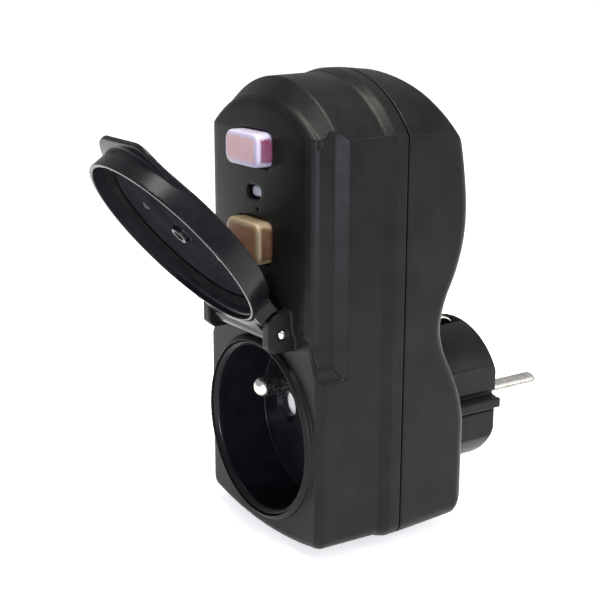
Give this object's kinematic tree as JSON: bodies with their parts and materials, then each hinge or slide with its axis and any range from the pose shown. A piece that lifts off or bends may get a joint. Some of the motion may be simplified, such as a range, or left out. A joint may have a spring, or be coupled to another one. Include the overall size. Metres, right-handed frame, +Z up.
{
  "type": "residual current device",
  "caption": "Plug-in residual current adaptor: upright casing with a splash-proof hinged-lid socket, test and reset buttons, indicator lamp and a two-pin plug at the back.",
  "frame": {"origin": "centre of the plug's flat contact face, on the common axis of plug and socket", "axes": "+Y from the socket out through the plug face, +Z up the casing, +X to the right seen from the front"},
  "size_m": [0.0504, 0.1166, 0.1097],
  "materials": {
    "casing": "fine spark-eroded texture, satin sheen",
    "gloss_black": "polished black moulding",
    "seal_rubber": "matte",
    "nickel": "nickel plated, satin bright",
    "screw_steel": "zinc plated",
    "brass": "stamped and tumbled",
    "spring_steel": "drawn wire",
    "white_plastic": "moulded, matte",
    "test_silicone": "translucent milky silicone",
    "reset_silicone": "translucent cream silicone",
    "red_plastic": "moulded, satin",
    "amber_plastic": "moulded, satin",
    "lens": "frosted clear lens",
    "lamp_glass": "clear domed",
    "board": "solder-masked laminate",
    "dark_plastic": "moulded, satin",
    "capacitor_sleeve": "shrink sleeve",
    "varistor_coat": "dipped epoxy",
    "ferrite": "coated core",
    "copper_winding": "enamelled copper wire on a bobbin"
  },
  "bodies": {
    "casing": {"front_shell": "casing", "rear_shell": "casing", "casing_seal": "seal_rubber", "casing_screw_1": "screw_steel", "casing_screw_2": "screw_steel", "casing_screw_3": "screw_steel", "casing_screw_4": "screw_steel", "socket_insert": "gloss_black", "shutter_spring": "spring_steel", "live_contact": "brass", "neutral_contact": "brass", "earth_pin": "nickel", "earth_strap": "brass", "hinge_pin": "nickel", "test_spring": "spring_steel", "reset_spring": "spring_steel", "indicator_lens": "lens", "indicator_lamp": "lamp_glass", "circuit_board": "board", "test_switch": "dark_plastic", "reset_switch": "dark_plastic", "control_chip": "dark_plastic", "smoothing_capacitor": "capacitor_sleeve", "varistor": "varistor_coat", "ring_core": "ferrite", "trip_coil": "copper_winding", "line_bar_live": "brass", "line_bar_neutral": "brass", "load_strap_live": "brass", "load_strap_neutral": "brass", "plug_body": "casing", "plug_pin_live": "nickel", "plug_pin_neutral": "nickel", "earth_clip_top": "nickel", "earth_clip_bottom": "nickel", "plug_earth_sleeve": "nickel"},
    "lid": {"socket_lid": "gloss_black", "lid_seal": "seal_rubber"},
    "test_button": {"test_cap": "test_silicone", "test_key": "red_plastic"},
    "reset_button": {"reset_cap": "reset_silicone", "reset_key": "amber_plastic"},
    "shutter": {"safety_shutter": "white_plastic"},
    "trip_gear": {"trip_plunger": "nickel", "contact_carrier": "white_plastic", "moving_contact_line": "brass", "moving_contact_neutral": "brass"}
  },
  "joints": [
    {"name": "lid_hinge", "type": "hinge", "parent": "casing", "child": "lid", "pos_m": [0, -0.06305, 0.02685], "axis": [1, 0, 0], "range_deg": [0, 141]},
    {"name": "test_press", "type": "slide", "parent": "casing", "child": "test_button", "axis": [0, 1, 0], "range_m": [0, 0.0012], "stiffness_N_per_m": 1500, "springref_m": -0.0006, "deforming": ["test_spring"]},
    {"name": "reset_press", "type": "slide", "parent": "casing", "child": "reset_button", "axis": [0, 1, 0], "range_m": [0, 0.0012], "stiffness_N_per_m": 1500, "springref_m": -0.0006, "deforming": ["reset_spring"]},
    {"name": "shutter_slide", "type": "slide", "parent": "casing", "child": "shutter", "axis": [-1, 0, 0], "range_m": [0, 0.0052], "stiffness_N_per_m": 120, "springref_m": -0.001, "deforming": ["shutter_spring"]},
    {"name": "trip_slide", "type": "slide", "parent": "casing", "child": "trip_gear", "axis": [0, 0, 1], "range_m": [0, 0.0015]}
  ]
}
